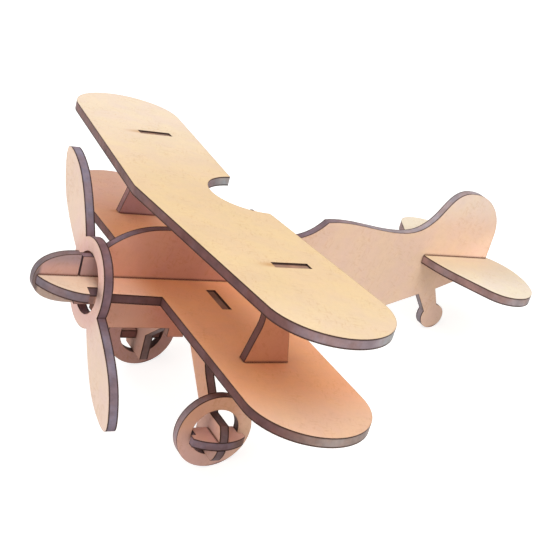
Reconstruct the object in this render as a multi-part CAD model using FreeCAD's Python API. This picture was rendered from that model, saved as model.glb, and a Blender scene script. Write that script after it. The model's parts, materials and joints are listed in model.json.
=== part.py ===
"""Slot-together biplane model cut from flat board.

Every piece is one flat cut-out. Pieces cross each other in half-lap slots or plug tabs into slots.
The propeller turns on the neck behind the nose, and each wheel turns on a cross-shaped axle.

The aeroplane is drawn in flight attitude first: +X to port, +Y aft from the firewall (the step behind the
propeller), +Z up from the thrust line. It is then set down on its two wheels and its tail skid, with the
origin on the ground, under the middle of its bounding box.
"""
import FreeCAD
import Part
import math
import os

# ---------------------------------------------------------------- board and fits (millimetres)
SHEET = 3.0                 # thickness of the board
SLOT_PLAY = 0.10            # width or length of a slot beyond the board or tab in it
TAB_RECESS = 0.45           # the end of a tab stops this far below the face that it comes through
RUN_GAP = 0.30              # least gap round a piece that turns

# ---------------------------------------------------------------- nose and propeller
NOSE_SHOULDER = 0.6         # from the front of the neck forward to where both halves begin to round
NOSE_LENGTH = 12.4          # rounded level half, ahead of the shoulder
NOSE_HALF_WIDTH = 12.95     # half width of the barb that keeps the propeller on
NOSE_FULLNESS = 1.65        # 2 is an ellipse, less is more pointed
NOSE_RIB_LENGTH = 13.0      # rounded upright half, ahead of the shoulder
NOSE_RIB_RISE = 8.3         # above the thrust line
NOSE_RIB_FALL = 7.1         # below the thrust line
NOSE_RIB_FULLNESS = 2.35    # 2 is an ellipse, more is blunter
NECK_LENGTH = 6.4           # neck that the propeller turns on
NECK_HALF_WIDTH = 8.5
NECK_HALF_HEIGHT = 7.7
PROPELLER_PLAY = 0.7        # bore of the propeller hub beyond the corners of the neck, on the radius
HUB_WALL = 4.25
BLADE_RADIUS = 45.3         # from the hub centre to the tip
BLADE_ROOT_HALF_WIDTH = 4.1
BLADE_HALF_WIDTH = 6.7      # at the widest
BLADE_WIDEST = 30.5         # radius of the widest place
BLADE_SHOULDER = 39.0       # radius where the tip begins to round off
BLADE_SHOULDER_HALF_WIDTH = 4.9
BLADE_ANGLE = 50.0          # degrees from upright, the upper blade leaning to starboard

# ---------------------------------------------------------------- fuselage, side view
COWL_FRONT_HEIGHT = 10.3    # step at the firewall, above and below the thrust line
COWL_BULGE = (5.2, 14.2)
COWL_REAR = (17.8, 17.5)
WINDSCREEN_FOOT = (30.8, 18.2)
WINDSCREEN_TOP = (45.9, 25.1)
WINDSCREEN_RADIUS = 1.6
COCKPIT_FLOOR = 17.2
COCKPIT_FRONT = 48.6
COCKPIT_REAR = 61.0
HEADREST_FOOT = (68.6, 19.5)
HEADREST_TOP = (73.4, 23.6)
SPINE_HIGH = (79.5, 23.9)
BELLY_RISE = (80.0, -13.6)
BELLY_DEPTH = 15.4
CHIN_LENGTH = 6.0
GEAR_BLOCK_DEPTH = 18.5     # deeper stretch of the belly that holds the landing gear
GEAR_BLOCK_HALF_LENGTH = 7.0
BELLY_REAR = 60.0

# ---------------------------------------------------------------- tail end, aft of the tail station
TAIL_STATION = 115.1        # front of the tailplane, from the firewall: it sets the length of the fuselage
SPINE_LOW = (-13.1, 21.7)
FIN_FOOT = (-4.5, 23.1)
FIN_FRONT = (1.8, 28.6)
FIN_SHOULDER = (6.1, 34.9)
FIN_CENTRE = (13.3, 23.2)   # centre of the round rear of the fin
FIN_RADIUS = 14.6
TAIL_UNDERSIDE = 9.7        # height of the lower rear corner
SKID_REAR_ROOT = (10.2, 1.7)
SKID_FRONT_ROOT = (3.7, -0.6)
SKID_CENTRE = (12.8, -9.1)  # centre of the round foot
SKID_RADIUS = 4.6
SKID_STEM_HALF_WIDTH = 2.3
TAIL_BOTTOM = (-8.5, -5.2)

# ---------------------------------------------------------------- lower wing
STRAKE_FRONT_HALF_WIDTH = 12.3
STRAKE_REAR_HALF_WIDTH = 13.4
LOWER_LEADING_EDGE = 15.25
LOWER_TIP_RADIUS = 18.25    # half of the chord
LOWER_TIP_CENTRE = 70.0     # from the centreline

# ---------------------------------------------------------------- upper wing
WING_SPACING = 28.9         # from the middle of one wing board to the middle of the other
UPPER_LEADING_EDGE = 4.9    # at the centreline
UPPER_TIP_RADIUS = 18.2
UPPER_TIP_CENTRE = 71.2
SWEEP = 5.46                # degrees
CUTOUT_RADIUS = 14.2
CUTOUT_CENTRE = 44.1

# ---------------------------------------------------------------- struts between the wings
STRUT_OFFSET = 49.6         # from the centreline
STRUT_STATION = 31.15
STRUT_HALF_WIDTH = 6.95     # where it meets the wings
STRUT_WAIST_HALF_WIDTH = 4.1
STRUT_TAB_LENGTH = 11.3
STRUT_BEND = 0.7            # how far the waist has widened where it turns into the straight sides
STRUT_BEND_RISE = 4.3       # height of that turn above the middle of the waist

# ---------------------------------------------------------------- tailplane, aft of the tail station
TAILPLANE_HEIGHT = 12.85
TAILPLANE_LEADING = [(9.5, 1.9), (24.1, 8.3)]
TAILPLANE_TIP_FRONT = (30.9, 12.7)
TAILPLANE_TIP = (32.8, 19.3)
TAILPLANE_TIP_REAR = (28.4, 27.5)
TAILPLANE_TRAILING = [(21.3, 31.3), (13.7, 32.7), (6.8, 31.9)]

# ---------------------------------------------------------------- landing gear
GEAR_STATION = 33.55
GEAR_TAB_INNER = 8.0
GEAR_TAB_OUTER = 20.25
GEAR_ROOT_HALF_WIDTH = 21.5
GEAR_LEG_OUTER = [(18.5, -10.0), (18.4, -17.6), (22.4, -22.4)]
GEAR_ARCH_DEPTH = 17.0      # below the thrust line, between the legs
GEAR_ARCH_HALF_WIDTH = 5.4
GEAR_LEG_INNER = (7.6, -18.4)
HEEL_WIDTH = 5.2
HEEL_TOP = 31.9             # below the thrust line

# ---------------------------------------------------------------- wheels and axle plates
WHEEL_DROP = 33.9           # centre of the wheel below the thrust line
WHEEL_OFFSET = 30.5         # middle of the wheel board, from the centreline
WHEEL_RADIUS = 12.2
WHEEL_BORE_RADIUS = 7.82
WHEEL_HEEL_PLAY = 0.4       # between the wheel and the heel of the leg
WHEEL_BARB_PLAY = 1.6       # between the wheel and the barbs
AXLE_RISE = 4.8             # top of the axle above the centre of the wheel
AXLE_STUB = 2.6             # straight stretch of the axle beyond the face of the barbs
AXLE_DOME = 2.3             # how far the middle of its end stands out
AXLE_SAG = 1.1              # the axle plate rides this far below the centre of the wheel
TONGUE_SETBACK = 1.2        # from the heel to the inner end of the axle plate
BARB_OVERHANG = 0.78        # beyond the bore of the wheel, at the front and at the rear
BARB_LENGTH = 2.0
AXLE_PLATE_DOME = 2.7

# ---------------------------------------------------------------- worked out from the sizes above
PROPELLER_BORE = math.hypot(max(NECK_HALF_WIDTH, NECK_HALF_HEIGHT), SHEET / 2) + PROPELLER_PLAY
HUB_RADIUS = PROPELLER_BORE + HUB_WALL
PROPELLER_DROP = math.sqrt(PROPELLER_BORE ** 2 - (SHEET / 2) ** 2) - NECK_HALF_HEIGHT - RUN_GAP
PROPELLER_STATION = -RUN_GAP - SHEET / 2
NOSE_BASE = -NECK_LENGTH - NOSE_SHOULDER
NOSE_TIP = NOSE_BASE - max(NOSE_LENGTH, NOSE_RIB_LENGTH)
NOSE_LAP = (NOSE_TIP - NECK_LENGTH) / 2
AXLE_PLATE_DROP = WHEEL_DROP + AXLE_SAG
LOWER_TRAILING_EDGE = LOWER_LEADING_EDGE + 2 * LOWER_TIP_RADIUS
WING_LAP = LOWER_TRAILING_EDGE / 2
GEAR_LAP = (GEAR_BLOCK_DEPTH + SHEET / 2) / 2
FIN_REAR = FIN_CENTRE[0] + FIN_RADIUS
FIN_TOP = FIN_CENTRE[1] + FIN_RADIUS
TAIL_LAP = FIN_REAR / 2
STRUT_HEIGHT = WING_SPACING - SHEET
HEEL_FACE = WHEEL_OFFSET - SHEET / 2 - WHEEL_HEEL_PLAY
BARB_FACE = WHEEL_OFFSET + SHEET / 2 + WHEEL_BARB_PLAY
BARB_CORNER = BARB_FACE + BARB_LENGTH
BARB_HALF_WIDTH = WHEEL_BORE_RADIUS + BARB_OVERHANG
AXLE_CORNER = BARB_FACE + AXLE_STUB
AXLE_END = AXLE_CORNER + AXLE_DOME
AXLE_LAP = (HEEL_FACE + AXLE_END) / 2
AXLE_REACH = WHEEL_BORE_RADIUS - RUN_GAP
AXLE_TOP = WHEEL_DROP - AXLE_RISE
AXLE_BOTTOM = WHEEL_DROP + math.sqrt(AXLE_REACH ** 2 - (SHEET / 2) ** 2)
TONGUE_HALF_WIDTH = math.sqrt(AXLE_REACH ** 2 - (AXLE_SAG + SHEET / 2) ** 2)
TONGUE_START = HEEL_FACE + TONGUE_SETBACK

# Directions of a drawing's own x, y and z in the aeroplane's frame
SIDE_VIEW = FreeCAD.Rotation(FreeCAD.Vector(0, 1, 0), FreeCAD.Vector(0, 0, 1), FreeCAD.Vector(1, 0, 0),
                             "ZXY")
PLAN_VIEW = FreeCAD.Rotation()
FRONT_VIEW = FreeCAD.Rotation(FreeCAD.Vector(1, 0, 0), FreeCAD.Vector(0, 0, 1), FreeCAD.Vector(0, -1, 0),
                              "ZXY")

OVAL_STEP = 15              # degrees between the points that an oval curve goes through


# ---------------------------------------------------------------- drawing helpers
def line(*points):
    return "line", points


def arc(middle, end):
    return "arc", (middle, end)


def curve(*points):
    return "curve", points


def flat(start, *steps):
    """Closed flat face that starts at one point and goes through lines, arcs and smooth curves."""
    edges = []
    here = FreeCAD.Vector(*start, 0)
    for kind, points in steps + (line(start),):
        stops = [FreeCAD.Vector(*point, 0) for point in points]
        if kind == "arc":
            edges.append(Part.Arc(here, stops[0], stops[1]).toShape())
        elif kind == "curve":
            spline = Part.BSplineCurve()
            spline.interpolate([here] + stops)
            edges.append(spline.toShape())
        else:
            for before, after in zip([here] + stops, stops):
                if before.distanceToPoint(after) > 1e-6:
                    edges.append(Part.LineSegment(before, after).toShape())
        here = stops[-1]
    return Part.Face(Part.Wire(edges))


def around(centre, reach, degrees, fullness=2.0):
    """Point on an oval round the centre; reach is its half width and half height."""
    angle = math.radians(degrees)
    point = []
    for middle, half, share in zip(centre, reach, (math.cos(angle), math.sin(angle))):
        point.append(middle + half * math.copysign(abs(share) ** (2 / fullness), share))
    return tuple(point)


def oval(centre, reach, first, last, fullness=2.0):
    """Smooth curve along an oval from just after the first angle to the last."""
    count = max(2, round(abs(last - first) / OVAL_STEP))
    turns = [first + (last - first) * step / count for step in range(1, count + 1)]
    return curve(*[around(centre, reach, turn, fullness) for turn in turns])


def aft(point):
    """Point of the tail, measured from the tail station, as measured from the firewall."""
    return point[0] + TAIL_STATION, point[1]


def board(face, view, offset=0.0):
    """Give a flat face the board's thickness, half to each side, and turn it into place."""
    solid = face.extrude(FreeCAD.Vector(0, 0, SHEET))
    solid.translate(FreeCAD.Vector(0, 0, offset - SHEET / 2))
    solid.Placement = FreeCAD.Placement(FreeCAD.Vector(), view).multiply(solid.Placement)
    return solid


def block(x_range, y_range, z_range):
    """Box between pairs of coordinates, for slots."""
    low = [min(pair) for pair in (x_range, y_range, z_range)]
    high = [max(pair) for pair in (x_range, y_range, z_range)]
    size = [top - bottom for bottom, top in zip(low, high)]
    return Part.makeBox(*size, FreeCAD.Vector(*low))


def slot_range(middle, length=SHEET):
    """Where a slot starts and ends when it takes a board or tab of this length."""
    half = (length + SLOT_PLAY) / 2
    return middle - half, middle + half


def port_to_starboard(solid):
    return solid.mirror(FreeCAD.Vector(), FreeCAD.Vector(1, 0, 0))


def both_sides(half):
    """Join a half that ends on the centreline to its mirror image."""
    return half.fuse(port_to_starboard(half)).removeSplitter()


# ---------------------------------------------------------------- nose
def nose_rib():
    """Upright half of the rounded nose, slotted from behind over the level half."""
    base = (NOSE_BASE, 0)
    face = flat((NOSE_BASE, NOSE_RIB_RISE),
                oval(base, (NOSE_RIB_LENGTH, NOSE_RIB_RISE), 90, 180, NOSE_RIB_FULLNESS),
                oval(base, (NOSE_RIB_LENGTH, NOSE_RIB_FALL), 180, 270, NOSE_RIB_FULLNESS))
    lap = block((-SHEET, SHEET), (NOSE_LAP, 0), slot_range(0))
    return board(face, SIDE_VIEW).cut(lap)


def nose_plate():
    """Level half of the nose: a barb wider than the propeller bore, and the neck through the bore."""
    face = flat((0, 0),
                line((NECK_HALF_WIDTH, 0), (NECK_HALF_WIDTH, -NECK_LENGTH), (NOSE_HALF_WIDTH, NOSE_BASE)),
                oval((0, NOSE_BASE), (NOSE_HALF_WIDTH, NOSE_LENGTH), 0, -90, NOSE_FULLNESS))
    lap = block(slot_range(0), (NOSE_TIP - SHEET, NOSE_LAP), (-SHEET, SHEET))
    return both_sides(board(face, PLAN_VIEW)).cut(lap)


def propeller():
    """Ring hub with two leaf-shaped blades, cut in one piece."""
    root = math.sqrt(HUB_RADIUS ** 2 - BLADE_ROOT_HALF_WIDTH ** 2)
    side = [(BLADE_HALF_WIDTH, BLADE_WIDEST), (BLADE_SHOULDER_HALF_WIDTH, BLADE_SHOULDER)]
    other_side = [(-out, up) for out, up in reversed(side)]
    blade = flat((0, 0),
                 line((BLADE_ROOT_HALF_WIDTH, 0), (BLADE_ROOT_HALF_WIDTH, root)),
                 curve(*side, (0, BLADE_RADIUS), *other_side, (-BLADE_ROOT_HALF_WIDTH, root)),
                 line((-BLADE_ROOT_HALF_WIDTH, 0)))
    hub_centre = FreeCAD.Vector(0, -PROPELLER_DROP, -PROPELLER_STATION)
    blank = Part.makeCylinder(HUB_RADIUS, SHEET, FreeCAD.Vector(0, 0, -SHEET / 2))
    for turn in (BLADE_ANGLE, BLADE_ANGLE + 180):
        arm = board(blade, PLAN_VIEW)
        arm.rotate(FreeCAD.Vector(), FreeCAD.Vector(0, 0, 1), turn)
        blank = blank.fuse(arm)
    bore = Part.makeCylinder(PROPELLER_BORE, 2 * SHEET, FreeCAD.Vector(0, 0, -SHEET))
    plate = blank.cut(bore).removeSplitter()
    plate.translate(hub_centre)
    plate.Placement = FreeCAD.Placement(FreeCAD.Vector(), FRONT_VIEW).multiply(plate.Placement)
    return plate


# ---------------------------------------------------------------- fuselage
def tail_skid():
    """Tapered stem that runs into the round foot."""
    root_middle = [(front + rear) / 2 for front, rear in zip(SKID_FRONT_ROOT, SKID_REAR_ROOT)]
    lean = math.degrees(math.atan2(SKID_CENTRE[1] - root_middle[1], SKID_CENTRE[0] - root_middle[0]))
    width = (SKID_STEM_HALF_WIDTH, SKID_STEM_HALF_WIDTH)
    centre = aft(SKID_CENTRE)
    stem = flat(aft(SKID_FRONT_ROOT),
                line(around(centre, width, lean - 90), around(centre, width, lean + 90),
                     aft(SKID_REAR_ROOT)))
    foot = Part.Face(Part.Wire(Part.makeCircle(SKID_RADIUS, FreeCAD.Vector(*centre, 0))))
    return board(stem, SIDE_VIEW).fuse(board(foot, SIDE_VIEW))


def fuselage():
    """Side profile in one board, slotted for the nose, the wing, the tailplane and the landing gear."""
    block_front = GEAR_STATION - GEAR_BLOCK_HALF_LENGTH
    block_rear = GEAR_STATION + GEAR_BLOCK_HALF_LENGTH
    shoulder = WINDSCREEN_TOP[1] - WINDSCREEN_RADIUS
    profile = flat(
        (-NECK_LENGTH, NECK_HALF_HEIGHT),
        line((0, NECK_HALF_HEIGHT), (0, COWL_FRONT_HEIGHT)),
        curve(COWL_BULGE, COWL_REAR),
        line(WINDSCREEN_FOOT, (WINDSCREEN_TOP[0] - WINDSCREEN_RADIUS, shoulder)),
        arc(WINDSCREEN_TOP, (WINDSCREEN_TOP[0] + WINDSCREEN_RADIUS, shoulder)),
        line((COCKPIT_FRONT, COCKPIT_FLOOR), (COCKPIT_REAR, COCKPIT_FLOOR)),
        curve(HEADREST_FOOT, HEADREST_TOP),
        curve(SPINE_HIGH, *map(aft, (SPINE_LOW, FIN_FOOT, FIN_FRONT, FIN_SHOULDER)),
              aft((FIN_CENTRE[0], FIN_TOP))),
        arc(aft(around(FIN_CENTRE, (FIN_RADIUS, FIN_RADIUS), 45)), aft((FIN_REAR, FIN_CENTRE[1]))),
        line(*map(aft, ((FIN_REAR, TAIL_UNDERSIDE), SKID_REAR_ROOT, SKID_FRONT_ROOT, TAIL_BOTTOM))),
        curve(BELLY_RISE, (BELLY_REAR, -BELLY_DEPTH)),
        line((block_rear, -BELLY_DEPTH), (block_rear, -GEAR_BLOCK_DEPTH),
             (block_front, -GEAR_BLOCK_DEPTH), (block_front, -BELLY_DEPTH), (CHIN_LENGTH, -BELLY_DEPTH),
             (0, -COWL_FRONT_HEIGHT), (0, -NECK_HALF_HEIGHT), (-NECK_LENGTH, -NECK_HALF_HEIGHT)))
    solid = board(profile, SIDE_VIEW).fuse(tail_skid()).removeSplitter()
    slots = [block((-SHEET, SHEET), (-NECK_LENGTH - SHEET, WING_LAP), slot_range(0)),
             block((-SHEET, SHEET), (TAIL_STATION + TAIL_LAP, TAIL_STATION + FIN_REAR + SHEET),
                   slot_range(TAILPLANE_HEIGHT)),
             block((-SHEET, SHEET), slot_range(GEAR_STATION), (-GEAR_BLOCK_DEPTH - SHEET, -GEAR_LAP))]
    for slot in slots:
        solid = solid.cut(slot)
    return solid


# ---------------------------------------------------------------- wings
def strut_slot(height):
    """Slot for one strut tab through a wing board at this height, on the port side."""
    return block(slot_range(STRUT_OFFSET), slot_range(STRUT_STATION, STRUT_TAB_LENGTH),
                 (height - SHEET, height + SHEET))


def lower_wing():
    """Straight wing with its strake, slit from behind to slide back into the fuselage."""
    tip = (LOWER_TIP_CENTRE + LOWER_TIP_RADIUS, LOWER_LEADING_EDGE + LOWER_TIP_RADIUS)
    face = flat((0, 0),
                line((STRAKE_FRONT_HALF_WIDTH, 0), (STRAKE_REAR_HALF_WIDTH, LOWER_LEADING_EDGE),
                     (LOWER_TIP_CENTRE, LOWER_LEADING_EDGE)),
                arc(tip, (LOWER_TIP_CENTRE, LOWER_TRAILING_EDGE)),
                line((0, LOWER_TRAILING_EDGE)))
    gear_tab = GEAR_TAB_OUTER - GEAR_TAB_INNER
    gear_slot = block(slot_range(GEAR_TAB_INNER + gear_tab / 2, gear_tab), slot_range(GEAR_STATION),
                      (-SHEET, SHEET))
    half = board(face, PLAN_VIEW).cut(gear_slot).cut(strut_slot(0))
    lap = block(slot_range(0), (WING_LAP, LOWER_TRAILING_EDGE + SHEET), (-SHEET, SHEET))
    return both_sides(half).cut(lap)


def upper_wing():
    """Swept wing carried on the struts, with a round notch over the cockpit."""
    slope = math.tan(math.radians(SWEEP))
    chord = 2 * UPPER_TIP_RADIUS / math.cos(math.radians(SWEEP))
    tip_centre = (UPPER_TIP_CENTRE, UPPER_LEADING_EDGE + slope * UPPER_TIP_CENTRE + chord / 2)
    tip = (UPPER_TIP_RADIUS, UPPER_TIP_RADIUS)
    face = flat((0, UPPER_LEADING_EDGE),
                line(around(tip_centre, tip, SWEEP - 90)),
                arc(around(tip_centre, tip, SWEEP), around(tip_centre, tip, SWEEP + 90)),
                line((0, UPPER_LEADING_EDGE + chord)))
    half = board(face, PLAN_VIEW, WING_SPACING).cut(strut_slot(WING_SPACING))
    notch_foot = FreeCAD.Vector(0, CUTOUT_CENTRE, WING_SPACING - SHEET)
    notch = Part.makeCylinder(CUTOUT_RADIUS, 2 * SHEET, notch_foot)
    return both_sides(half).cut(notch)


def port_strut():
    """Waisted post with a tab at each end that plugs through the wing."""
    top = WING_SPACING / 2
    tab_end = top + SHEET / 2 - TAB_RECESS
    root = STRUT_HEIGHT / 2
    half_tab = STRUT_TAB_LENGTH / 2
    face = flat((0, tab_end),
                line((half_tab, tab_end), (half_tab, root), (STRUT_HALF_WIDTH, root)),
                line((STRUT_WAIST_HALF_WIDTH + STRUT_BEND, STRUT_BEND_RISE)),
                curve((STRUT_WAIST_HALF_WIDTH, 0), (STRUT_WAIST_HALF_WIDTH + STRUT_BEND, -STRUT_BEND_RISE)),
                line((STRUT_HALF_WIDTH, -root), (half_tab, -root), (half_tab, -tab_end), (0, -tab_end)))
    half = board(face, PLAN_VIEW)
    post = both_sides(half)
    post.Placement = FreeCAD.Placement(FreeCAD.Vector(), SIDE_VIEW).multiply(post.Placement)
    post.translate(FreeCAD.Vector(STRUT_OFFSET, STRUT_STATION, top))
    return post


def tailplane():
    """Two-lobed tail board, slit from the front to slide forward into the fuselage."""
    face = flat((0, 0),
                curve(*TAILPLANE_LEADING, TAILPLANE_TIP_FRONT, TAILPLANE_TIP, TAILPLANE_TIP_REAR,
                      *TAILPLANE_TRAILING, (0, FIN_REAR)))
    plate = both_sides(board(face, PLAN_VIEW)).cut(block(slot_range(0), (-SHEET, TAIL_LAP), (-SHEET, SHEET)))
    plate.translate(FreeCAD.Vector(0, TAIL_STATION, TAILPLANE_HEIGHT))
    return plate


# ---------------------------------------------------------------- landing gear
def landing_gear():
    """Both legs in one upright board across the belly, with tabs up through the lower wing."""
    wing_underside = -SHEET / 2
    tab_end = SHEET / 2 - TAB_RECESS
    axle_middle = (AXLE_TOP + AXLE_BOTTOM) / 2
    heel_inner = HEEL_FACE - HEEL_WIDTH
    face = flat((0, wing_underside),
                line((GEAR_TAB_INNER, wing_underside), (GEAR_TAB_INNER, tab_end),
                     (GEAR_TAB_OUTER, tab_end), (GEAR_TAB_OUTER, wing_underside),
                     (GEAR_ROOT_HALF_WIDTH, wing_underside)),
                curve(*GEAR_LEG_OUTER, (HEEL_FACE, -AXLE_TOP)),
                line((AXLE_CORNER, -AXLE_TOP)),
                arc((AXLE_END, -axle_middle), (AXLE_CORNER, -AXLE_BOTTOM)),
                line((heel_inner, -AXLE_BOTTOM), (heel_inner, -HEEL_TOP), GEAR_LEG_INNER),
                curve((GEAR_ARCH_HALF_WIDTH, -GEAR_ARCH_DEPTH), (0, -GEAR_ARCH_DEPTH)))
    axle_slot = block((AXLE_LAP, AXLE_END + SHEET), slot_range(-AXLE_PLATE_DROP), (-SHEET, SHEET))
    half = board(face, PLAN_VIEW).cut(axle_slot)
    gear = both_sides(half).cut(block(slot_range(0), (-GEAR_LAP, SHEET), (-SHEET, SHEET)))
    gear.Placement = FreeCAD.Placement(FreeCAD.Vector(), FRONT_VIEW).multiply(gear.Placement)
    gear.translate(FreeCAD.Vector(0, GEAR_STATION, 0))
    return gear


def port_axle_plate():
    """Level half of the axle: its tongue goes in through the wheel, and its barbs stay outside."""
    face = flat((TONGUE_START, 0),
                line((TONGUE_START, TONGUE_HALF_WIDTH), (BARB_FACE, TONGUE_HALF_WIDTH),
                     (BARB_FACE, BARB_HALF_WIDTH), (BARB_CORNER, BARB_HALF_WIDTH)),
                arc((BARB_CORNER + AXLE_PLATE_DOME, 0), (BARB_CORNER, -BARB_HALF_WIDTH)),
                line((BARB_FACE, -BARB_HALF_WIDTH), (BARB_FACE, -TONGUE_HALF_WIDTH),
                     (TONGUE_START, -TONGUE_HALF_WIDTH)))
    plate = board(face, PLAN_VIEW)
    plate = plate.cut(block((0, AXLE_LAP), slot_range(0), (-SHEET, SHEET)))
    plate.translate(FreeCAD.Vector(0, GEAR_STATION, -AXLE_PLATE_DROP))
    return plate


def port_wheel():
    """Ring that rolls on the crossed boards of the axle."""
    axis = FreeCAD.Vector(1, 0, 0)
    inner_face = FreeCAD.Vector(WHEEL_OFFSET - SHEET / 2, GEAR_STATION, -WHEEL_DROP)
    rim = Part.makeCylinder(WHEEL_RADIUS, SHEET, inner_face, axis)
    return rim.cut(Part.makeCylinder(WHEEL_BORE_RADIUS, SHEET, inner_face, axis))


# ---------------------------------------------------------------- set down on the ground
def ground_angle():
    """Nose-up angle, in degrees, at which both wheels and the tail skid touch level ground."""
    back = aft(SKID_CENTRE)[0] - GEAR_STATION
    up = SKID_CENTRE[1] + WHEEL_DROP
    taper = math.asin((WHEEL_RADIUS - SKID_RADIUS) / math.hypot(back, up))
    return math.degrees(math.atan2(up, back) + taper)


def set_down(pieces):
    """Tip the aeroplane back on its wheels and put the ground and the middle of the box at the origin."""
    for solid in pieces.values():
        solid.rotate(FreeCAD.Vector(), FreeCAD.Vector(1, 0, 0), -ground_angle())
    box = Part.makeCompound(list(pieces.values())).optimalBoundingBox(False, False)
    shift = FreeCAD.Vector(-box.Center.x, -box.Center.y, -box.ZMin)
    for solid in pieces.values():
        solid.translate(shift)
    return shift


def main():
    pieces = {
        "nose_rib": nose_rib(),
        "nose_plate": nose_plate(),
        "propeller": propeller(),
        "fuselage": fuselage(),
        "lower_wing": lower_wing(),
        "upper_wing": upper_wing(),
        "port_strut": port_strut(),
        "starboard_strut": port_to_starboard(port_strut()),
        "tailplane": tailplane(),
        "landing_gear": landing_gear(),
        "port_axle_plate": port_axle_plate(),
        "starboard_axle_plate": port_to_starboard(port_axle_plate()),
        "port_wheel": port_wheel(),
        "starboard_wheel": port_to_starboard(port_wheel()),
    }
    shift = set_down(pieces)
    os.makedirs("parts", exist_ok=True)
    for name, solid in pieces.items():
        solid.exportStep("parts/" + name + ".step")
        print(name, "solids", len(solid.Solids), "valid", solid.isValid(), "volume", round(solid.Volume, 1))
    print("nose-up angle", round(ground_angle(), 6), "shift", tuple(round(value, 6) for value in shift))


main()
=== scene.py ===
"""Looks of the slot-together biplane model: laser-cut fibreboard, a pale floor, soft light and the camera."""

import json
import math
import random
from collections import namedtuple

import bpy
from mathutils import Matrix, Quaternion, Vector


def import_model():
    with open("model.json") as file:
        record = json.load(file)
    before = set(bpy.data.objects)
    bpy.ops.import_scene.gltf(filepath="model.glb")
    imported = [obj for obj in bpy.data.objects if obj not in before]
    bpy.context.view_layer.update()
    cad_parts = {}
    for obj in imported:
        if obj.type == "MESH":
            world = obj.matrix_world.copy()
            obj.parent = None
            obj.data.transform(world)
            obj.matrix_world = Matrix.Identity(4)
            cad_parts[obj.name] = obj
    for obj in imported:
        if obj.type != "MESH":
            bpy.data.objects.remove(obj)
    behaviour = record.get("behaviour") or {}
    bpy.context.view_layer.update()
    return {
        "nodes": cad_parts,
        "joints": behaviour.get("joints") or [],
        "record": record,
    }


# ---------------------------------------------------------------- camera, in metres and degrees, lens in millimetres
CAMERA_AT = (0.28161, -0.13736, 0.22767)
CAMERA_AZIMUTH = 64.493
CAMERA_ELEVATION = 31.476
CAMERA_ROLL = -2.333
CAMERA_LENS = 72.95
CAMERA_SENSOR = 36.0
CAMERA_CLIP = (0.01, 20.0)

# ---------------------------------------------------------------- light and floor, in metres
WHITE = (1.0, 1.0, 1.0)
WORLD_COLOUR = (1.0, 0.985, 0.965)
WORLD_LEVEL = 0.42
LAMPS = [
    # name, place, size, power in watts, colour
    ("rear_softbox", (0.52, 0.28, 0.80), 0.80, 6.2, (1.0, 0.97, 0.93)),
    ("front_softbox", (0.05, -0.85, 0.34), 0.70, 3.8, (1.0, 0.98, 0.96)),
    ("near_softbox", (0.80, -0.30, 0.24), 1.00, 1.3, (1.0, 0.98, 0.96)),
    ("far_softbox", (-0.65, -0.10, 0.50), 0.60, 1.5, (1.0, 0.98, 0.96)),
]
LAMP_AIM = (0.0, 0.0, 0.04)
FLOOR_SIZE = 6.0
FLOOR_COLOUR = (0.52, 0.515, 0.51)
FLOOR_LIFT = 0.74           # glow for rays that show the background, so that the open floor reads as white

# ---------------------------------------------------------------- fibreboard
MM = 1000.0                 # millimetres in a metre
BOARD_AXIS = {"mdf_side": 0, "mdf_cross": 1, "mdf_level": 2}   # which drawing axis the face looks along
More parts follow.
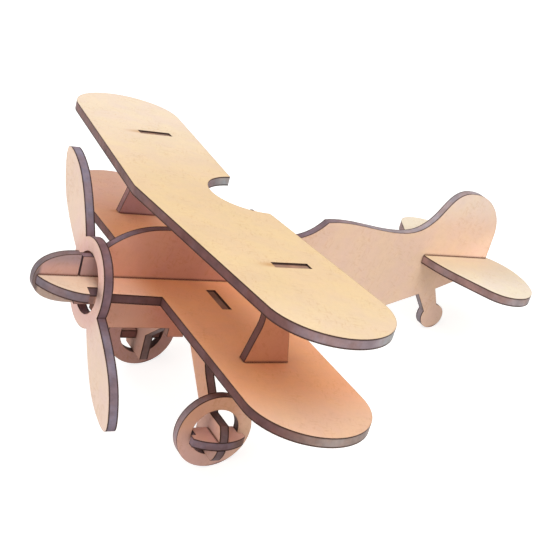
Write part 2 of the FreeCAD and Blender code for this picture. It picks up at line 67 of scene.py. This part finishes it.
# A linear colour turns into another one over a stretch of the board, in millimetres: AFT from its front end, UP from
# its lower end, to STARBOARD or OUT on both sides from the centreline, ROUND from the middle of the board, or
# AFT_DOWN, where the distance aft less the height counts. Most blends below are painted light and shade: a board
# turns darker where it lies in shade and paler where light falls on it.
Blend = namedtuple("Blend", "other along start stop")
AFT, UP, STARBOARD, OUT, ROUND, AFT_DOWN = range(6)
FACES_WITH_PAINTED_LIGHT = {                               # sanded faces, most with painted light and shade in their colours
    # upper wing: painted light, paler towards the tips and across the starboard half
    "upper_wing": [(0.820, 0.610, 0.370), Blend((0.840, 0.650, 0.440), OUT, 58, 85),
                   Blend((0.910, 0.750, 0.590), STARBOARD, -10, 80)],
    # lower wing: painted light and shade, pale at the front, darker orange in the shade under the upper wing, paler
    # towards the tips and on the starboard side
    "lower_wing": [(1.000, 0.620, 0.460), Blend((1.000, 0.520, 0.290), AFT, 6, 18),
                   Blend((0.940, 0.470, 0.255), AFT, 22, 34), Blend((0.820, 0.545, 0.390), OUT, 60, 84),
                   Blend((1.000, 0.640, 0.500), STARBOARD, 30, 70)],
    "nose_plate": [(0.800, 0.620, 0.500), Blend((0.820, 0.580, 0.440), AFT, 4, 20)],
    # tailplane: painted light, paler towards the tips
    "tailplane": [(0.790, 0.640, 0.470), Blend((0.900, 0.800, 0.660), OUT, 4, 28)],
    # fuselage: painted light and shade, darker in the shade under the wings, paler aft of them and along the top,
    # dark at the neck in the shade behind the propeller, and paler low at the tail to take away the tailplane's
    # shadow
    "fuselage": [(0.780, 0.470, 0.350), Blend((0.710, 0.355, 0.250), UP, 10, 22),
                 Blend((0.640, 0.310, 0.225), AFT, 12, 32), Blend((0.850, 0.615, 0.470), AFT, 45, 80),
                 Blend((0.860, 0.700, 0.590), UP, 42, 54), Blend((0.430, 0.270, 0.255), AFT, 7.5, 5.5),
                 Blend((1.000, 0.720, 0.570), AFT_DOWN, 98, 116)],
    "nose_rib": [(0.600, 0.480, 0.420), Blend((0.530, 0.320, 0.285), UP, 6, 8.5),
                 Blend((0.360, 0.260, 0.270), UP, 10.5, 14.5), Blend((0.200, 0.150, 0.155), AFT, 2.2, 1.0)],
    "propeller": [(0.710, 0.480, 0.430), Blend((0.785, 0.605, 0.510), ROUND, 11, 18)],
    # landing gear: painted shade, darker towards the bottom and on the starboard side
    "landing_gear": [(0.830, 0.480, 0.330), Blend((0.640, 0.400, 0.330), UP, 15, 9),
                     Blend((0.430, 0.270, 0.240), UP, 6, 3.5), Blend((0.400, 0.230, 0.180), STARBOARD, -5, 20)],
    # port strut: painted shade, darker and redder for the shade under the upper wing
    "port_strut": [(0.620, 0.270, 0.155)],
    # starboard strut: painted shade, a darker, greyer tone than the port strut for its shade
    "starboard_strut": [(0.530, 0.340, 0.370)],
    # axle plates: painted light and shade, the port one pale where light falls, the starboard one dark in shade
    "port_axle_plate": [(0.900, 0.600, 0.550)],
    "starboard_axle_plate": [(0.500, 0.290, 0.240)],
    # wheels: painted light and shade, the port wheel darker towards the top and paler aft, the starboard wheel dark
    # in shade
    "port_wheel": [(0.830, 0.520, 0.460), Blend((0.740, 0.410, 0.270), UP, 6, 20),
                   Blend((0.900, 0.600, 0.450), AFT, 15, 22)],
    "starboard_wheel": [(0.560, 0.320, 0.280)],
}
EDGES_WITH_PAINTED_LIGHT = {                               # cut edges, charred by the laser, with painted light and shade in many colours and blends
    # upper wing: painted light, paler towards the starboard side and pale grey towards the rear
    "upper_wing": [(0.148, 0.070, 0.068), Blend((0.195, 0.115, 0.110), STARBOARD, -35, 10),
                   Blend((0.330, 0.240, 0.255), AFT, 6, 18), Blend((0.430, 0.440, 0.455), AFT, 28, 36)],
    # lower wing: painted light, paler towards the rear
    "lower_wing": [(0.130, 0.060, 0.058), Blend((0.370, 0.280, 0.250), AFT, 17, 32)],
    "nose_plate": [(0.200, 0.150, 0.168), Blend((0.150, 0.080, 0.085), AFT, 6, 20)],
    # tailplane: painted light, paler towards the rear
    "tailplane": [(0.330, 0.220, 0.215), Blend((0.420, 0.340, 0.335), AFT, 8, 22)],
    # fuselage: painted light, paler grey towards the tail
    "fuselage": [(0.280, 0.150, 0.120), Blend((0.200, 0.125, 0.150), UP, 8, 20),
                 Blend((0.360, 0.300, 0.320), AFT, 60, 120)],
    "nose_rib": [(0.190, 0.145, 0.155), Blend((0.200, 0.130, 0.135), AFT, 0, 13)],
    "propeller": [(0.195, 0.115, 0.132), Blend((0.235, 0.192, 0.240), ROUND, 12, 22)],
    "landing_gear": [(0.190, 0.125, 0.130), Blend((0.200, 0.130, 0.120), STARBOARD, 5, 25)],
    # struts, axle plates and wheels: painted light and shade, each side's edges in their own lit or shaded tone
    "port_strut": [(0.130, 0.060, 0.054)],
    "starboard_strut": [(0.270, 0.150, 0.150)],
    "port_axle_plate": [(0.225, 0.155, 0.180), Blend((0.230, 0.130, 0.105), AFT, 10, 16)],
    "starboard_axle_plate": [(0.190, 0.090, 0.080)],
    "port_wheel": [(0.360, 0.260, 0.270), Blend((0.120, 0.060, 0.058), AFT, 2, 14)],
    "starboard_wheel": [(0.200, 0.130, 0.130), Blend((0.120, 0.060, 0.055), AFT, 2, 14)],
}
TAB_ENDS = {                            # ends of the tabs, which are paler than the rest of the edge
    "port_strut": (0.360, 0.215, 0.160),
    "starboard_strut": (0.360, 0.215, 0.160),
    "landing_gear": (0.260, 0.150, 0.115),
}
TAB_FACING = (0.97, 0.99)               # how squarely such an end looks up or down
TAB_DEPTH = (1.0, 0.3)                  # how far inside the end of the board its tone starts and is full

# Patterns in the board: waves of noise in a millimetre, its detail and roughness, and the two values of the noise
# between which the pattern turns from one end to the other.
Grain = namedtuple("Grain", "scale detail rough span")
PATTERN_SHIFT = 400.0                   # millimetres that each board's patterns may be moved, so that none repeats
CLOUD = Grain(0.055, 3.0, 0.55, (0.25, 0.75))
MOTTLE = Grain(0.42, 4.0, 0.6, (0.2, 0.8))
GRIT = Grain(3.2, 2.0, 0.6, (0.2, 0.8))
CLOUD_TONE = (0.96, 1.04)               # brightness of a face, and what mottle and grit add to it
MOTTLE_TONE = (-0.035, 0.035)
GRIT_TONE = (-0.02, 0.02)
FACE_HUE = Grain(0.11, 3.0, 0.6, (0.35, 0.65))
FACE_TINTS = ((1.00, 0.985, 1.02), (1.00, 1.00, 0.96))     # a tint is a factor on the colour of the board

FIBRE = Grain(1.5, 1.0, 0.5, (0.52, 0.80))
FIBRE_ANGLES = (0.5, 1.9, 2.8)          # radians in the plane of the board: dark, dark and pale fibres
FIBRE_SWAY = 0.2
FIBRE_SQUEEZE = 0.32                    # width of a fibre by its length
MATTING = Grain(0.10, 2.0, 0.5, (0.42, 0.62))
MATTED = (0.25, 1.0)                    # how strongly fibres show in loose and in matted patches
DARK_FIBRE_SHARE, DARK_FIBRE_TINT = 0.42, (0.80, 0.66, 0.46)
PALE_FIBRE_SHARE, PALE_FIBRE_TINT = 0.36, (1.05, 1.06, 0.98)

# Marks that the laser leaves, and painted shade in corners. A reach is in metres. A mark along an edge starts and is
# full where the rounded normal has turned that far from the true one, as a cosine, and the painted shade in a corner
# where so little of the sky is open.
SAMPLES = 8
EDGE_START = 0.995
CORNER_SHADE_SPAN = (0.92, 0.50)
SMOKE_REACH, SMOKE_FULL, SMOKE_SHARE = 0.0020, 0.72, 0.30
SMOKE_BROWN = (0.56, 0.30, 0.16)        # thin film on the face beside a cut
SMOKE_PATCHES = Grain(0.30, 3.0, 0.5, (0.40, 0.70))
BURN_REACH, BURN_FULL, BURN_SHARE = 0.00030, 0.93, 0.55
BURN_AND_CORNER_SHADE = (0.120, 0.040, 0.022)       # on the face along a cut, and as painted shade, partly a dark joint, in corners where another board meets it
BURN_MOTTLE = (0.3, 0.6, 0.70, 1.0)     # values of the mottle, and how strong they make the line
# painted shade in corners, partly standing for a dark burnt joint, in the burn line's colour
CORNER_SHADE_REACH, CORNER_SHADE_SHARE = 0.0011, 0.90
SMEAR_TINT = (0.78, 0.62, 0.46)         # smoke ahead of a slot, where it is thickest
SMEARED = {"upper_wing": ("port_strut", "starboard_strut"), "lower_wing": ("starboard_strut",)}   # at whose slots
SMEAR_LENGTH = 9.0
SMEAR_HALF_WIDTH = 2.2
SMEAR_BEHIND = 1.0                      # how far it runs on past the front of the slot
TAB_SETBACK = 1.3                       # from the front of a strut's foot to the front of its tab

CHAR_DRIFT = Grain(0.22, 3.0, 0.6, (0.3, 0.7))
CHAR_LEVEL = (0.76, 1.24)               # brightness of the char, and what the cutting lines add to it
CHAR_LINES = Grain(3.4, 3.0, 0.65, (0.3, 0.7))
CHAR_LINE_LEVEL = (-0.05, 0.05)
CHAR_LINE_SQUEEZE = 0.10                # waves across the thickness of the board, by the waves along the edge
CHAR_HUE = Grain(0.17, 3.0, 0.6, (0.36, 0.64))
CHAR_TINTS = ((1.03, 0.95, 0.90), (0.98, 1.06, 1.12))
# dark char at the rims of a cut edge; the same colour paints shade into the edge's corners
CHAR_RIM_AND_CORNER_SHADE = (0.042, 0.019, 0.012)
RIM_SPAN, RIM_SHARE = (0.92, 1.30), 0.92    # millimetres from the middle of the thickness
# painted shade in the corners of a cut edge
RIM_CORNER_SHADE_REACH, RIM_CORNER_SHADE_SHARE = 0.0006, 0.70

FACE_SPAN = (0.55, 0.75)                # how squarely a surface looks along the board's axis: edge, then face
BUMP_STRENGTH, BUMP_DEPTH = 0.45, 0.00004
FIBRE_RELIEF, LINE_RELIEF = 0.4, 2.2    # depth of a dark fibre and of the cutting lines, by that of the grit
FACE_ROUGHNESS, EDGE_ROUGHNESS = (0.52, 0.70), (0.42, 0.60)
FACE_SPECULAR, EDGE_SPECULAR = 0.25, 0.08


# ---------------------------------------------------------------- node helpers
class Nodes:
    """Short calls that add shader nodes to one material and join them up."""

    def __init__(self, material):
        material.use_nodes = True
        self.tree = material.node_tree
        self.tree.nodes.clear()

    def add(self, kind, **settings):
        node = self.tree.nodes.new(kind)
        for key, value in settings.items():
            setattr(node, key, value)
        return node

    def feed(self, socket, value):
        if isinstance(value, bpy.types.NodeSocket):
            self.tree.links.new(value, socket)
        elif isinstance(value, tuple) and len(value) == 3 and socket.type == "RGBA":
            socket.default_value = (*value, 1.0)
        else:
            socket.default_value = value

    def maths(self, operation, first, second=0.0):
        node = self.add("ShaderNodeMath", operation=operation)
        self.feed(node.inputs[0], first)
        self.feed(node.inputs[1], second)
        return node.outputs[0]

    def times(self, first, second):
        return self.maths("MULTIPLY", first, second)

    def apart(self, first, second):
        """Distance between two numbers."""
        return self.maths("ABSOLUTE", self.maths("SUBTRACT", first, second))

    def ramp(self, value, low, high, to_low=0.0, to_high=1.0, smooth=True):
        node = self.add("ShaderNodeMapRange", interpolation_type="SMOOTHSTEP" if smooth else "LINEAR")
        for slot, given in zip(node.inputs, (value, low, high, to_low, to_high)):
            self.feed(slot, given)
        return node.outputs[0]

    def mix(self, share, first, second, blend="MIX"):
        node = self.add("ShaderNodeMix", data_type="RGBA", blend_type=blend, clamp_result=False)
        self.feed(node.inputs["Factor"], share)
        self.feed(node.inputs[6], first)
        self.feed(node.inputs[7], second)
        return node.outputs[2]

    def blend(self, share, first, second):
        node = self.add("ShaderNodeMix", data_type="FLOAT")
        self.feed(node.inputs["Factor"], share)
        self.feed(node.inputs[2], first)
        self.feed(node.inputs[3], second)
        return node.outputs[0]

    def tinted(self, colour, tint):
        return self.mix(1.0, colour, tint, "MULTIPLY")

    def vectors(self, operation, first, second, inlet=1):
        node = self.add("ShaderNodeVectorMath", operation=operation)
        self.feed(node.inputs[0], first)
        self.feed(node.inputs[inlet], second)
        return node.outputs["Value" if operation in ("DISTANCE", "DOT_PRODUCT") else "Vector"]

    def placed(self, vector, scale=(1, 1, 1), turn=(0, 0, 0), move=(0, 0, 0)):
        node = self.add("ShaderNodeMapping")
        self.feed(node.inputs["Vector"], vector)
        node.inputs["Scale"].default_value = scale
        node.inputs["Rotation"].default_value = turn
        node.inputs["Location"].default_value = move
        return node.outputs[0]

    def noise(self, vector, grain):
        node = self.add("ShaderNodeTexNoise")
        self.feed(node.inputs["Vector"], vector)
        node.inputs["Scale"].default_value = grain.scale
        node.inputs["Detail"].default_value = grain.detail
        node.inputs["Roughness"].default_value = grain.rough
        return node.outputs[0]

    def pattern(self, vector, grain, to_low=0.0, to_high=1.0, smooth=True):
        return self.ramp(self.noise(vector, grain), *grain.span, to_low, to_high, smooth)

    def parts(self, vector):
        node = self.add("ShaderNodeSeparateXYZ")
        self.feed(node.inputs[0], vector)
        return node.outputs

    def near_edge(self, reach, full):
        """1 on a sharp edge of the piece, falling to 0 at the reach."""
        bevel = self.add("ShaderNodeBevel", samples=SAMPLES)
        bevel.inputs["Radius"].default_value = reach
        true = self.add("ShaderNodeNewGeometry").outputs["Normal"]
        return self.ramp(self.vectors("DOT_PRODUCT", bevel.outputs[0], true), EDGE_START, full)

    def in_corner_shade(self, reach):
        """Painted shade: 1 deep in the corner where two boards meet, falling to 0 at the reach."""
        hidden = self.add("ShaderNodeAmbientOcclusion", samples=SAMPLES)
        hidden.inputs["Distance"].default_value = reach
        return self.ramp(hidden.outputs["AO"], *CORNER_SHADE_SPAN)


def on_axis(axis, value, rest):
    """Three numbers, of which one differs from the rest."""
    return tuple(value if number == axis % 3 else rest for number in range(3))


# ---------------------------------------------------------------- boards
class Fibreboard:
    """Fibreboard with sanded faces and laser-burnt cut edges, for one board, whose colours carry painted light and
    shade.

    The face looks along one axis of the drawing. low and high are the corners of the board's box in the drawing,
    in millimetres, and smears are the fronts of slots, as x and y, where smoke has marked the face.
    """

    def __init__(self, name, pitch, axis, low, high, smears, seed):
        self.name, self.axis, self.low, self.high, self.smears = name, axis, low, high, smears
        self.material = bpy.data.materials.new("fibreboard_" + name)
        self.rng = random.Random(seed)
        self.n = n = Nodes(self.material)
        place = n.add("ShaderNodeTexCoord")
        self.drawing = n.placed(place.outputs["Object"], scale=(MM, MM, MM), turn=(pitch, 0, 0))
        self.x, self.y, self.z = n.parts(self.drawing)
        self.facing = n.parts(n.placed(place.outputs["Normal"], turn=(pitch, 0, 0)))
        shift = tuple(self.rng.uniform(-PATTERN_SHIFT, PATTERN_SHIFT) for _ in range(3))
        self.shifted = n.placed(self.drawing, move=shift)
        self.mottle = n.noise(self.shifted, MOTTLE)
        self.grit = n.noise(self.shifted, GRIT)
        self.dark_fibre, self.pale_fibre = self.fibres()
        self.lines = n.noise(n.placed(self.shifted, scale=on_axis(axis, CHAR_LINE_SQUEEZE, 1.0)), CHAR_LINES)

    def fibres(self):
        """How strongly dark and pale fibres show."""
        n = self.n
        laid = []
        for angle in FIBRE_ANGLES:
            turn = on_axis(self.axis, angle + self.rng.uniform(-FIBRE_SWAY, FIBRE_SWAY), 0.0)
            squeeze = on_axis(self.axis + 1, FIBRE_SQUEEZE, 1.0)
            laid.append(n.pattern(n.placed(n.placed(self.shifted, turn=turn), scale=squeeze), FIBRE))
        matted = n.pattern(self.shifted, MATTING, *MATTED)
        return n.times(n.maths("MAXIMUM", laid[0], laid[1]), matted), n.times(laid[2], matted)

    def run(self, along):
        """Millimetres along the stretch of a blend."""
        n, low = self.n, self.low
        if along == AFT:
            return n.maths("SUBTRACT", self.y, low[1])
        if along == UP:
            return n.maths("SUBTRACT", self.z, low[2])
        if along == STARBOARD:
            return n.times(self.x, -1.0)
        if along == OUT:
            return n.maths("ABSOLUTE", self.x)
        if along == AFT_DOWN:
            return n.maths("SUBTRACT", n.maths("SUBTRACT", self.y, self.z), low[1] - low[2])
        return n.vectors("DISTANCE", self.drawing, tuple((a + b) / 2 for a, b in zip(low, self.high)))

    def blended_with_painted_light(self, colour, *blends):
        """Colour that turns into other ones over stretches of the board, most of them painted light and shade."""
        for blend in blends:
            colour = self.n.mix(self.n.ramp(self.run(blend.along), blend.start, blend.stop), colour, blend.other)
        return colour

    def smear(self, middle, front):
        """How thick the smoke is ahead of a slot."""
        n = self.n
        beside = n.ramp(n.apart(self.x, middle), SMEAR_HALF_WIDTH, 0.0)
        ahead = n.ramp(self.y, front - SMEAR_LENGTH, front)
        behind = n.ramp(self.y, front + SMEAR_BEHIND, front)
        return n.times(n.times(beside, n.times(ahead, ahead)), behind)

    def face(self):
        """Sanded face: its colour with painted light and shade, clouding, mottle, grit and fibres, then the marks of
        smoke and burning and the painted shade in corners.
        """
        n = self.n
        board_with_painted_light = self.blended_with_painted_light(*FACES_WITH_PAINTED_LIGHT[self.name])
        hue = n.pattern(self.shifted, FACE_HUE)
        colour = n.mix(hue, *(n.tinted(board_with_painted_light, tint) for tint in FACE_TINTS))
        colour = n.mix(n.times(self.dark_fibre, DARK_FIBRE_SHARE), colour, n.tinted(board_with_painted_light, DARK_FIBRE_TINT))
        colour = n.mix(n.times(self.pale_fibre, PALE_FIBRE_SHARE), colour, n.tinted(board_with_painted_light, PALE_FIBRE_TINT))
        tone = n.maths("ADD", n.pattern(self.shifted, CLOUD, *CLOUD_TONE, smooth=False),
                       n.ramp(self.mottle, *MOTTLE.span, *MOTTLE_TONE, smooth=False))
        tone = n.maths("ADD", tone, n.ramp(self.grit, *GRIT.span, *GRIT_TONE, smooth=False))
        colour = n.vectors("SCALE", colour, tone, inlet="Scale")
        for middle, front in self.smears:
            colour = n.mix(self.smear(middle, front), colour, n.tinted(board_with_painted_light, SMEAR_TINT))
        smoke = n.times(n.near_edge(SMOKE_REACH, SMOKE_FULL), n.pattern(self.shifted, SMOKE_PATCHES))
        colour = n.mix(n.times(smoke, SMOKE_SHARE), colour, SMOKE_BROWN)
        line = n.times(n.near_edge(BURN_REACH, BURN_FULL), n.ramp(self.mottle, *BURN_MOTTLE))
        colour = n.mix(n.times(line, BURN_SHARE), colour, BURN_AND_CORNER_SHADE)
        # painted shade in corners, partly standing for the dark joint where boards meet
        return n.mix(n.times(n.in_corner_shade(CORNER_SHADE_REACH), CORNER_SHADE_SHARE), colour, BURN_AND_CORNER_SHADE)

    def edge(self):
        """Cut edge: char with painted light and shade, in darker and paler patches, with faint lines across the
        thickness, dark rims and painted shade in corners.
        """
        n = self.n
        colour = self.blended_with_painted_light(*EDGES_WITH_PAINTED_LIGHT[self.name])
        if self.name in TAB_ENDS:
            half = (self.high[2] - self.low[2]) / 2
            start, full = (half - depth for depth in TAB_DEPTH)
            at_end = n.ramp(n.apart(self.z, self.low[2] + half), start, full)
            level_cut = n.ramp(n.maths("ABSOLUTE", self.facing[2]), *TAB_FACING)
            colour = n.mix(n.times(level_cut, at_end), colour, TAB_ENDS[self.name])
        hue = n.pattern(self.shifted, CHAR_HUE)
        colour = n.mix(hue, *(n.tinted(colour, tint) for tint in CHAR_TINTS))
        level = n.maths("ADD", n.pattern(self.shifted, CHAR_DRIFT, *CHAR_LEVEL, smooth=False),
                        n.ramp(self.lines, *CHAR_LINES.span, *CHAR_LINE_LEVEL, smooth=False))
        colour = n.vectors("SCALE", colour, level, inlet="Scale")
        across = n.apart((self.x, self.y, self.z)[self.axis], (self.low[self.axis] + self.high[self.axis]) / 2)
        colour = n.mix(n.ramp(across, *RIM_SPAN, 0.0, RIM_SHARE), colour, CHAR_RIM_AND_CORNER_SHADE)
        # painted shade in the corners of the edge
        return n.mix(n.times(n.in_corner_shade(RIM_CORNER_SHADE_REACH), RIM_CORNER_SHADE_SHARE), colour, CHAR_RIM_AND_CORNER_SHADE)

    def finished(self):
        """The material, with the edge and the face joined in one shader."""
        n = self.n
        is_face = n.ramp(n.maths("ABSOLUTE", self.facing[self.axis]), *FACE_SPAN)
        sanded = n.maths("SUBTRACT", self.grit, n.times(self.dark_fibre, FIBRE_RELIEF))
        bump = n.add("ShaderNodeBump")
        bump.inputs["Strength"].default_value = BUMP_STRENGTH
        bump.inputs["Distance"].default_value = BUMP_DEPTH
        n.feed(bump.inputs["Height"], n.blend(is_face, n.times(self.lines, LINE_RELIEF), sanded))

        shader = n.add("ShaderNodeBsdfPrincipled")
        n.feed(shader.inputs["Base Color"], n.mix(is_face, self.edge(), self.face()))
        n.feed(shader.inputs["Roughness"], n.blend(is_face, n.ramp(self.lines, *CHAR_LINES.span, *EDGE_ROUGHNESS),
                                                   n.ramp(self.mottle, *MOTTLE.span, *FACE_ROUGHNESS)))
        n.feed(shader.inputs["Specular IOR Level"], n.blend(is_face, EDGE_SPECULAR, FACE_SPECULAR))
        n.feed(shader.inputs["Normal"], bump.outputs[0])
        n.feed(n.add("ShaderNodeOutputMaterial").inputs["Surface"], shader.outputs[0])
        return self.material


def drawing_box(node, pitch):
    """Lowest and highest corner of a node, in millimetres of the drawing."""
    points = [Matrix.Rotation(pitch, 3, "X") @ vertex.co * MM for vertex in node.data.vertices]
    return [[pick(point[axis] for point in points) for axis in range(3)] for pick in (min, max)]


def dress(frame):
    """Give every board its own fibreboard."""
    spin = next(joint for joint in frame["joints"] if joint["name"] == "propeller_spin")
    pitch = math.atan2(-spin["axis"][2], spin["axis"][1])
    slots = {part["node"]: part["material_slot"] for part in frame["record"]["subparts"]}
    boxes = {name: drawing_box(frame["nodes"][name], pitch) for name in FACES_WITH_PAINTED_LIGHT}
    for seed, name in enumerate(FACES_WITH_PAINTED_LIGHT):
        smears = []
        for strut in SMEARED.get(name, ()):
            low, high = boxes[strut]
            smears.append(((low[0] + high[0]) / 2, low[1] + TAB_SETBACK))
        board = Fibreboard(name, pitch, BOARD_AXIS[slots[name]], *boxes[name], smears, seed)
        made = board.finished()
        for slot in frame["nodes"][name].material_slots:
            slot.material = made


# ---------------------------------------------------------------- stage
def floor():
    bpy.ops.mesh.primitive_plane_add(size=FLOOR_SIZE)
    plane = bpy.context.object
    plane.name = "floor"
    made = bpy.data.materials.new("floor")
    n = Nodes(made)
    matt = n.add("ShaderNodeBsdfDiffuse")
    n.feed(matt.inputs["Color"], FLOOR_COLOUR)
    lift = n.add("ShaderNodeEmission")
    n.feed(lift.inputs["Strength"], n.maths("MULTIPLY", seen(n), FLOOR_LIFT))
    both = n.add("ShaderNodeAddShader")
    n.feed(both.inputs[0], matt.outputs[0])
    n.feed(both.inputs[1], lift.outputs[0])
    n.feed(n.add("ShaderNodeOutputMaterial").inputs["Surface"], both.outputs[0])
    plane.data.materials.append(made)


def seen(n):
    """1 for rays that show the background: straight from the camera, mirrored or through glass."""
    path = n.add("ShaderNodeLightPath")
    mirrored = n.maths("MAXIMUM", path.outputs["Is Glossy Ray"], path.outputs["Is Transmission Ray"])
    return n.maths("MAXIMUM", path.outputs["Is Camera Ray"], mirrored)


def world():
    made = bpy.data.worlds.new("studio")
    bpy.context.scene.world = made
    n = Nodes(made)
    sky = n.add("ShaderNodeBackground")
    shown = seen(n)
    n.feed(sky.inputs["Color"], n.mix(shown, WORLD_COLOUR, WHITE))
    n.feed(sky.inputs["Strength"], n.blend(shown, WORLD_LEVEL, 1.0))
    n.feed(n.add("ShaderNodeOutputWorld").inputs["Surface"], sky.outputs[0])


def lamps():
    for name, place, size, power, colour in LAMPS:
        data = bpy.data.lights.new(name, "AREA")
        data.shape = "DISK"
        data.size = size
        data.energy = power
        data.color = colour
        lamp = bpy.data.objects.new(name, data)
        lamp.location = place
        lamp.rotation_mode = "QUATERNION"
        lamp.rotation_quaternion = (Vector(LAMP_AIM) - Vector(place)).to_track_quat("-Z", "Y")
        bpy.context.scene.collection.objects.link(lamp)


def camera():
    data = bpy.data.cameras.new("camera")
    data.lens = CAMERA_LENS
    data.sensor_width = CAMERA_SENSOR
    data.clip_start, data.clip_end = CAMERA_CLIP
    made = bpy.data.objects.new("camera", data)
    around, above = math.radians(CAMERA_AZIMUTH), math.radians(CAMERA_ELEVATION)
    back = Vector((math.sin(around) * math.cos(above), -math.cos(around) * math.cos(above), math.sin(above)))
    made.location = CAMERA_AT
    made.rotation_mode = "QUATERNION"
    made.rotation_quaternion = (-back).to_track_quat("-Z", "Y") @ Quaternion((0, 0, 1), math.radians(CAMERA_ROLL))
    bpy.context.scene.collection.objects.link(made)
    bpy.context.scene.camera = made


# ---------------------------------------------------------------- build
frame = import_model()
camera()
world()
lamps()
floor()
dress(frame)
bpy.context.scene.view_settings.view_transform = "Standard"
